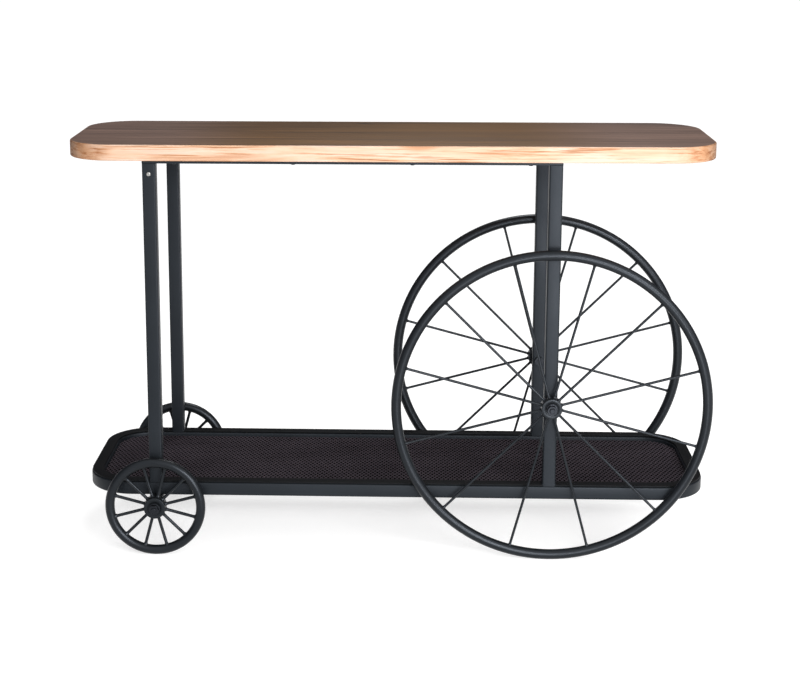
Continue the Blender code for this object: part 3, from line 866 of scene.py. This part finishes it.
class BARCART_OT_hubs(bpy.types.Operator):
    """The turned hubs: a bored barrel with chamfered ends and sunk seats for washers"""
    bl_idname = "barcart.hubs"
    bl_label = "Hubs"

    def execute(self, context):
        sunk = chamfer = 0.0012
        for body in WHEELS:
            c = middle(body + "_rim")
            radius = wheel_size(body, "hub")
            # the barrel stands between its two washers
            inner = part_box(body + "_washer_inner")
            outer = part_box(body + "_washer_outer")
            near = max(abs(inner[0].y), abs(inner[1].y)) + 0.0004
            far = min(abs(outer[0].y), abs(outer[1].y)) - GAP
            side = math.copysign(1, c.y)
            piece = lathe(body + "_hub", 64, radius, far - near,
                          (c.x, side * (near + far) / 2, c.z))
            for facing in (1, -1):
                pick(piece, "FACE", lambda p, n: n.y * facing > 0.9)
                bpy.ops.mesh.inset(thickness=radius - SEAT, depth=0.0)
                extrude(y=-facing * sunk)
                bpy.ops.mesh.inset(thickness=SEAT - HUB_BORE, depth=0.0)
            pick_ring(piece, c, radius)
            bpy.ops.mesh.bevel(offset=chamfer, segments=3, affect="EDGES")
            pick_ring(piece, c, SEAT)
            bpy.ops.mesh.bevel(offset=0.0003, segments=2, affect="EDGES")
            # the bore, which clears the bolt
            pick(piece, "FACE", lambda p, n: abs(n.y) > 0.9 and off_axis(p, c) < 0.0001)
            bpy.ops.mesh.bridge_edge_loops()
            clean()
            finish(piece, body, stock("black_powder_coat_wheel"), "wheel_coat",
                   body + "_spokes_and_hub", smooth=35)
        return {"FINISHED"}


# ---------------------------------------------------------------- fasteners

def cut(piece, tool, operation):
    """Cuts a piece with a tool, which is used up."""
    modify(piece, "BOOLEAN", operation=operation, object=tool, solver="EXACT")
    bpy.data.objects.remove(tool)


def hexagon(name, centre, depth):
    """A hexagon across the Y axis, turned off to a chamfer at both faces."""
    radius = FLATS / math.sqrt(3)
    piece = start("cylinder", name, vertices=6, radius=radius, depth=depth,
                  rotation=(math.radians(90), math.radians(30), 0), location=centre)
    clean()
    # a chamfered round, a hair inside the hexagon's corners, trims them
    turned = lathe(name + "_turned", 48, radius * 0.995, depth, centre)
    pick(turned, "FACE", lambda p, n: abs(n.y) > 0.9)
    bpy.ops.mesh.bevel(offset=0.0011, segments=1, affect="EDGES")
    clean()
    cut(piece, turned, "INTERSECT")
    return piece


def narrow(piece, centre, level, share):
    """Narrows a round bar to a share of its width at one place along the Y axis."""
    pick(piece, "VERT", lambda p, n: abs(p.y - level) < SAME)
    bpy.ops.transform.resize(value=(share, 1, share),
                             center_override=(centre.x, level, centre.z))


def bolt(body, c):
    """An axle bolt, whose thread shows past the nut."""
    low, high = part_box(body + "_axle_bolt")
    near, tip = sorted((abs(low.y), abs(high.y)))
    side = math.copysign(1, c.y)
    seat = near + BOLT_HEAD
    shank = lathe(body + "_bolt_shank", 32, AXLE, tip - seat,
                  (c.x, side * (tip + seat) / 2, c.z))
    # 22 rings, crest and root in turn and half a pitch apart, from the tip inwards
    lead, half_pitch, root, point = 0.0008, 0.0007, 0.88, 0.82
    for k in range(22):
        level = side * (tip - lead - k * half_pitch)
        bpy.ops.mesh.select_all(action="SELECT")
        bpy.ops.mesh.bisect(plane_co=(c.x, level, c.z), plane_no=(0, 1, 0))
        if k % 2:
            narrow(shank, c, level, root)
    narrow(shank, c, side * tip, point)
    clean()
    head = hexagon(body + "_bolt_head", (c.x, side * (near + BOLT_HEAD / 2), c.z),
                   BOLT_HEAD)
    return join([shank, head], body + "_bolt")


def nut(body, c):
    """A hexagon nut, bored through."""
    low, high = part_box(body + "_axle_nut")
    centre = (c.x, (low.y + high.y) / 2, c.z)
    piece = hexagon(body + "_nut", centre, high.y - low.y)
    bore = lathe(body + "_bore", 32, NUT_BORE, 2 * (high.y - low.y), centre)
    clean()
    cut(piece, bore, "DIFFERENCE")
    return piece


def washer(node, c):
    """A flat washer with rounded outer edges."""
    low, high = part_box(node)
    radius = (high.x - low.x) / 2
    piece = lathe(node + "_ring", 48, radius, high.y - low.y,
                  (c.x, (low.y + high.y) / 2, c.z))
    pick(piece, "FACE", lambda p, n: abs(n.y) > 0.9)
    bpy.ops.mesh.inset(thickness=radius - WASHER_BORE, depth=0.0, use_individual=True)
    bpy.ops.mesh.delete(type="FACE")
    pick_ring(piece, c, WASHER_BORE)
    bpy.ops.mesh.bridge_edge_loops()
    pick_ring(piece, c, radius)
    bpy.ops.mesh.bevel(offset=0.0003, segments=2, affect="EDGES")
    clean()
    return piece


class BARCART_OT_axles(bpy.types.Operator):
    """The axle bolts, washers and nuts of the four wheels"""
    bl_idname = "barcart.axles"
    bl_label = "Axles"

    def execute(self, context):
        steel = stock("blackened_steel_hardware")
        for body in WHEELS:
            c = middle(body + "_rim")
            finish(bolt(body, c), "frame", steel, "axle_hardware", body + "_axle_bolt")
            finish(nut(body, c), "frame", steel, "axle_hardware", body + "_axle_nut")
            for node in (body + "_washer_inner", body + "_washer_outer"):
                finish(washer(node, c), "frame", steel, "axle_hardware", node)
        return {"FINISHED"}


def screw_head(node, seat, radius, along):
    """A low domed head with a hexagon socket, standing on its seat and facing along."""
    rise = SCREW_HEAD
    piece = start("cylinder", node + "_head", vertices=32, radius=radius, depth=rise,
                  location=(0, 0, rise / 2))
    pick(piece, "FACE", lambda p, n: n.z > 0.9)
    bpy.ops.mesh.bevel(offset=rise * 0.6, segments=4, affect="EDGES")
    bpy.ops.object.mode_set(mode="OBJECT")
    key = start("cylinder", node + "_key", vertices=6, radius=radius * 0.5, depth=rise,
                location=(0, 0, rise * 0.95))
    pick(key, "FACE", lambda p, n: n.z < -0.9)
    bpy.ops.transform.resize(value=(0.9, 0.9, 1), center_override=(0, 0, rise * 0.45))
    clean()
    cut(piece, key, "DIFFERENCE")
    facing = Vector((0, 0, 1)).rotation_difference(Vector(along)).to_matrix().to_4x4()
    piece.data.transform(Matrix.Translation(seat) @ facing)
    return piece


class BARCART_OT_screws(bpy.types.Operator):
    """The screws up into the board, and the bright one near each left leg's head"""
    bl_idname = "barcart.screws"
    bl_label = "Screws"

    def execute(self, context):
        for row, side in (("front", -1), ("back", 1)):
            for k in range(1, 5):
                node = f"top_screw_{row}_{k}"
                c, bottom = middle(node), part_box(node)[0].z
                piece = screw_head(node, (c.x, c.y, bottom + SCREW_HEAD), 0.0042,
                                   (0, 0, -1))
                finish(piece, "frame", stock("blackened_steel_hardware"), "dark_screw", node)
            node = f"leg_screw_{row}"
            low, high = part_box(node)
            c = middle(node)
            tip = max(abs(low.y), abs(high.y))
            piece = screw_head(node, (c.x, side * (tip - SCREW_HEAD), c.z), 0.004,
                               (0, side, 0))
            finish(piece, "frame", stock("zinc_plated_screw"), "bright_screw", node)
        return {"FINISHED"}


# ---------------------------------------------------------------- stage

def lay_floor(stage):
    """A matt white floor, lit from below like a light table, which thins the shadows."""
    floor = start("plane", "floor", size=80, location=(0, 0, 0))
    bpy.ops.mesh.subdivide(number_cuts=7)
    bpy.ops.object.mode_set(mode="OBJECT")
    material, tree, shader, place = new_material("studio_floor_paint")
    tone = add(tree, "ShaderNodeTexNoise", {"Vector": place, "Scale": 0.5})
    paint = add(tree, "ShaderNodeValToRGB", {"Fac": tone.outputs["Fac"]}, stops=(
        (0.0, tuple(c * 0.985 for c in stage.floor_colour)),
        (1.0, tuple(stage.floor_colour))))
    for socket in ("Base Color", "Emission Color"):
        tree.links.new(paint.outputs[0], shader.inputs[socket])
    shader.inputs["Roughness"].default_value = 0.9
    shader.inputs["Specular IOR Level"].default_value = 0.1
    shader.inputs["Emission Strength"].default_value = stage.floor_glow
    floor.data.materials.append(material)


def light_studio(scene, stage):
    """A big soft window high in front, on the right, and a dark studio behind."""
    world = bpy.data.worlds.new("studio")
    scene.world = world
    world.use_nodes = True
    tree = world.node_tree
    tree.nodes.clear()
    way = add(tree, "ShaderNodeTexCoord").outputs["Generated"]
    facing = add(tree, "ShaderNodeVectorMath", {
        0: way, 1: Vector((0.22, -0.62, 0.75)).normalized()}, operation="DOT_PRODUCT")
    glow = add(tree, "ShaderNodeValToRGB", {"Fac": facing.outputs["Value"]}, stops=(
        (0.0, grey(0.010)), (0.30, grey(0.05)), (0.72, grey(1.0))))
    # low, cool light from the two far sides shows only as sheen on level faces
    axes = add(tree, "ShaderNodeSeparateXYZ", {"Vector": way})
    wide = add(tree, "ShaderNodeMath", {0: axes.outputs["X"]}, operation="ABSOLUTE")
    flank = add(tree, "ShaderNodeValToRGB", {"Fac": wide.outputs[0]}, stops=(
        (0.08, grey(0.0)), (0.24, (0.075, 0.070, 0.105))))
    low_down = add(tree, "ShaderNodeValToRGB", {"Fac": axes.outputs["Z"]}, stops=(
        (0.10, grey(1.0)), (0.50, grey(0.0))))
    sheen = add(tree, "ShaderNodeMix", {
        FACTOR: 1.0, FIRST: flank.outputs[0], SECOND: low_down.outputs[0]}, **MULTIPLY)
    both = add(tree, "ShaderNodeMix", {
        FACTOR: 1.0, FIRST: glow.outputs[0], SECOND: sheen.outputs[MIXED]},
        data_type="RGBA", blend_type="ADD")
    dome = add(tree, "ShaderNodeBackground", {
        "Color": both.outputs[MIXED], "Strength": stage.sky})
    add(tree, "ShaderNodeOutputWorld", {"Surface": dome.outputs[0]})


def hang_lamps(stage):
    """The softboxes: each one's power, size, place, and the point that it faces."""
    # the low card gives back a share of the key light, and lifts the right legs
    for name, power, size, place, aim in (
            ("key", stage.key, (2.2, 0.5), (1.7, -3.0, 1.5), (0.15, 0, 0.4)),
            ("overhead", stage.top, (0.7, 0.7), (0.15, 1.35, 2.6), (0.0, 0, 0.2)),
            ("low_card", stage.key * 0.18, (0.5, 0.5), (0.64, -2.0, 0.27),
             (0.33, -0.17, 0.55)),
            ("backdrop", stage.back, (9.0, 6.0), (0.0, 9.0, 5.5), (0.0, 9.0, 0.0))):
        deselect()
        bpy.ops.object.light_add(type="AREA", location=place)
        lamp = bpy.context.active_object
        lamp.name = name
        lamp.data.shape = "RECTANGLE"
        lamp.data.size, lamp.data.size_y = size
        lamp.data.energy = power
        ray = Vector(aim) - Vector(place)
        lamp.rotation_euler = ray.to_track_quat("-Z", "Y").to_euler()


def set_camera(scene):
    """A long lens before the cart's long side, looking down on it and a little left."""
    down, left = math.radians(11.65), math.radians(1.97)
    deselect()
    bpy.ops.object.camera_add(location=(0.0356, -3.2455, 1.2299),
                              rotation=(math.radians(90) - down, 0, left))
    camera = bpy.context.active_object
    camera.name = "camera"
    camera.data.sensor_width = 36
    camera.data.lens = 76.4
    camera.data.shift_x = 0.0596
    camera.data.shift_y = -0.1145
    camera.data.clip_end = 200
    scene.camera = camera


class BARCART_OT_stage(bpy.types.Operator):
    """The pale floor, the soft lights and the camera"""
    bl_idname = "barcart.stage"
    bl_label = "Stage"

    def execute(self, context):
        context.scene.view_settings.view_transform = "Standard"
        lay_floor(context.scene.bar_cart_stage)
        light_studio(context.scene, context.scene.bar_cart_stage)
        hang_lamps(context.scene.bar_cart_stage)
        set_camera(context.scene)
        return {"FINISHED"}


class BARCART_PT_panel(bpy.types.Panel):
    """Lists the pieces of the cart and their settings"""
    bl_idname = "BARCART_PT_panel"
    bl_label = "Bar Cart"
    bl_space_type = "VIEW_3D"
    bl_region_type = "UI"
    bl_category = "Bar Cart"

    def draw(self, context):
        for operator in PIECES:
            self.layout.operator(operator.bl_idname)
        for name in SETTINGS:
            box = self.layout.box()
            box.label(text=name.replace("bar_cart_", "").capitalize())
            group = getattr(context.scene, name)
            for key in type(group).__annotations__:
                box.prop(group, key)


SETTINGS = {
    "bar_cart_board": BoardSettings,
    "bar_cart_frame": FrameSettings,
    "bar_cart_mesh": MeshSettings,
    "bar_cart_wheels": WheelSettings,
    "bar_cart_paint": PaintSettings,
    "bar_cart_stage": StageSettings,
}
PIECES = (
    BARCART_OT_wooden_top, BARCART_OT_top_bars, BARCART_OT_legs, BARCART_OT_tray_ring,
    BARCART_OT_mesh_floor, BARCART_OT_stubs, BARCART_OT_rims, BARCART_OT_spokes,
    BARCART_OT_hubs, BARCART_OT_axles, BARCART_OT_screws, BARCART_OT_stage,
)


def register():
    for group in SETTINGS.values():
        bpy.utils.register_class(group)
    for name, group in SETTINGS.items():
        setattr(bpy.types.Scene, name, bpy.props.PointerProperty(type=group))
    for operator in PIECES:
        bpy.utils.register_class(operator)
    bpy.utils.register_class(BARCART_PT_panel)


def unregister():
    bpy.utils.unregister_class(BARCART_PT_panel)
    for operator in reversed(PIECES):
        bpy.utils.unregister_class(operator)
    for name, group in reversed(list(SETTINGS.items())):
        delattr(bpy.types.Scene, name)
        bpy.utils.unregister_class(group)


def main():
    register()
    for piece in PIECES:
        group, name = piece.bl_idname.split(".")
        getattr(getattr(bpy.ops, group), name)()


if __name__ == "__main__":
    main()
